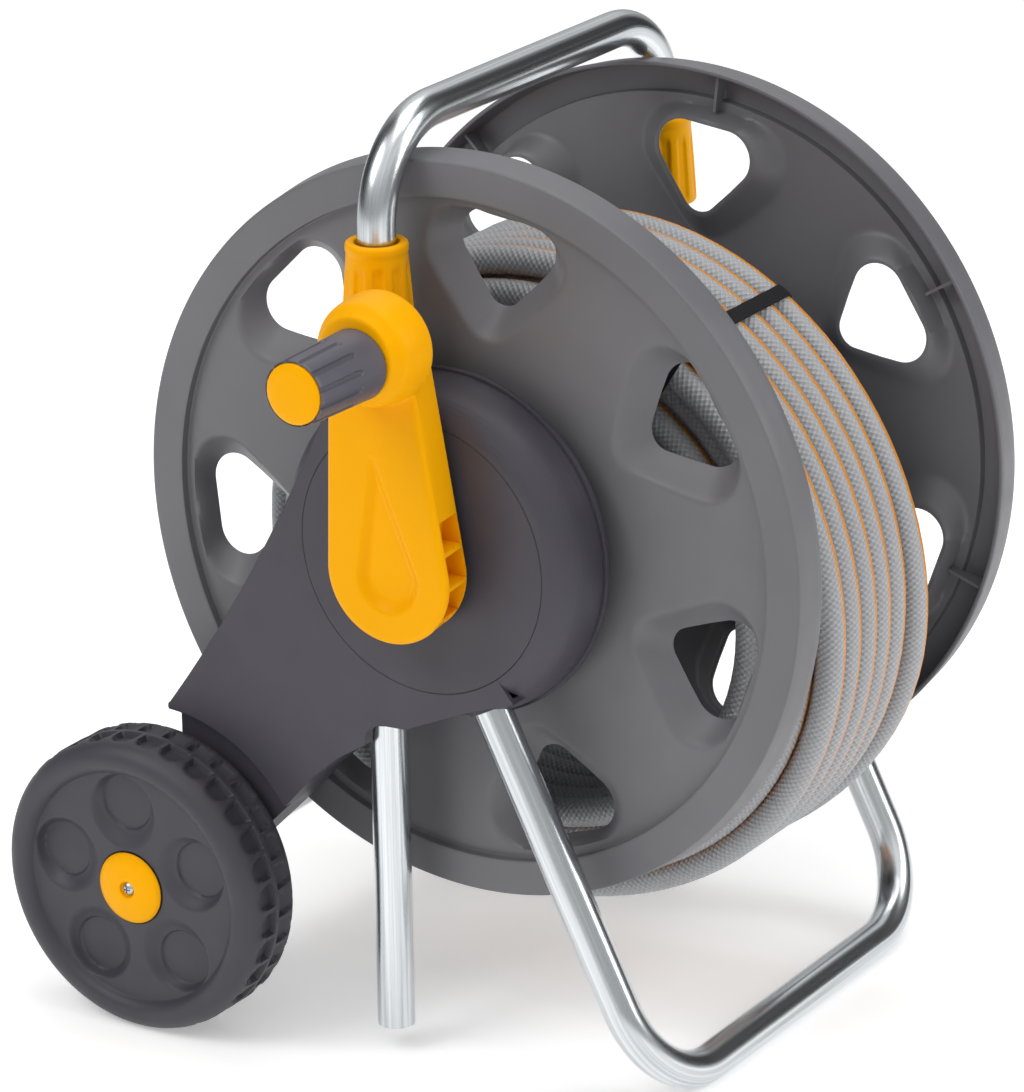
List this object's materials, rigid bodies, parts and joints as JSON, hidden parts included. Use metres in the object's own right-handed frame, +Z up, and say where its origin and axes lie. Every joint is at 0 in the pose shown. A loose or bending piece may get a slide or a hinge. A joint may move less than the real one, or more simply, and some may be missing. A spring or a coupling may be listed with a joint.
{
  "type": "garden hose reel cart",
  "caption": "Two-wheeled garden hose cart: a crank-wound reel between moulded side plates, with a sliding tube handle, a tube foot and a strapped bundle of hose on the drum.",
  "frame": {"origin": "on the ground under the middle of the cart", "axes": "+Z up, +X towards the foot bar, the reel axis along Y with the crank on the -Y side"},
  "size_m": [0.4924, 0.5048, 0.5644],
  "materials": {
    "plate_plastic": "fine satin moulding, dark charcoal",
    "wheel_plastic": "satin moulding, dark charcoal",
    "reel_plastic": "satin moulding, mid grey",
    "yellow_plastic": "satin gloss, warm yellow",
    "grip_plastic": "satin moulding, dark grey",
    "tube_steel": "zinc-plated, drawn along the tube",
    "screw_steel": "zinc-plated",
    "bearing_plastic": "natural acetal",
    "inner_plastic": "black moulding",
    "seal_rubber": "smooth",
    "hose_pvc": "clear skin over a light grey braid, with a thin yellow stripe",
    "strap_webbing": "woven polypropylene"
  },
  "bodies": {
    "frame": {"near_side_plate": "plate_plastic", "far_side_plate": "plate_plastic", "near_inner_plate": "plate_plastic", "far_inner_plate": "plate_plastic", "near_hub_cover": "plate_plastic", "far_hub_cover": "plate_plastic", "near_bush": "bearing_plastic", "far_bush": "bearing_plastic", "plate_screws": "screw_steel", "foot_tube": "tube_steel", "axle_tube": "tube_steel", "axle_plugs": "inner_plastic", "wheel_caps": "yellow_plastic", "wheel_screws": "screw_steel", "collets": "inner_plastic", "inlet_elbow": "yellow_plastic", "inlet_screws": "screw_steel", "shaft_seal": "seal_rubber"},
    "handle": {"handle_tube": "tube_steel", "handle_end_plugs": "inner_plastic"},
    "near_lock": {"near_collar": "yellow_plastic"},
    "far_lock": {"far_collar": "yellow_plastic"},
    "reel": {"near_flange": "reel_plastic", "far_flange": "reel_plastic", "drum": "reel_plastic", "water_shaft": "inner_plastic", "drum_screws": "screw_steel", "outlet_stub": "yellow_plastic", "outlet_seal": "seal_rubber", "crank_arm": "yellow_plastic", "grip_pin": "yellow_plastic", "grip_cap": "yellow_plastic"},
    "grip": {"crank_grip": "grip_plastic"},
    "near_wheel_body": {"near_wheel": "wheel_plastic"},
    "far_wheel_body": {"far_wheel": "wheel_plastic"},
    "hose": {"hose_bundle": "hose_pvc", "hose_straps": "strap_webbing", "hose_start_connector": "yellow_plastic", "hose_end_connector": "yellow_plastic"}
  },
  "joints": [
    {"name": "handle_slide", "type": "slide", "parent": "frame", "child": "handle", "axis": [0, 0, 1], "range_m": [0, 0.3]},
    {"name": "near_lock_turn", "type": "hinge", "parent": "frame", "child": "near_lock", "pos_m": [-0.01, -0.11535, 0.4624], "axis": [0, 0, 1], "range_deg": [0, 90]},
    {"name": "far_lock_turn", "type": "hinge", "parent": "frame", "child": "far_lock", "pos_m": [-0.01, 0.19035, 0.4624], "axis": [0, 0, 1], "range_deg": [-90, 0]},
    {"name": "reel_spin", "type": "hinge", "parent": "frame", "child": "reel", "pos_m": [0.0267, 0, 0.3164], "axis": [0, 1, 0], "continuous": true},
    {"name": "grip_spin", "type": "hinge", "parent": "reel", "child": "grip", "pos_m": [0.0267, -0.21935, 0.4464], "axis": [0, 1, 0], "continuous": true},
    {"name": "near_wheel_spin", "type": "hinge", "parent": "frame", "child": "near_wheel_body", "pos_m": [-0.1562, -0.15435, 0.09], "axis": [0, 1, 0], "continuous": true},
    {"name": "far_wheel_spin", "type": "hinge", "parent": "frame", "child": "far_wheel_body", "pos_m": [-0.1562, 0.22935, 0.09], "axis": [0, 1, 0], "continuous": true},
    {"name": "bundle_swing", "type": "hinge", "parent": "frame", "child": "hose", "pos_m": [0.0267, 0.03865, 0.3164], "axis": [0, 1, 0], "range_deg": [-90, 90]}
  ]
}
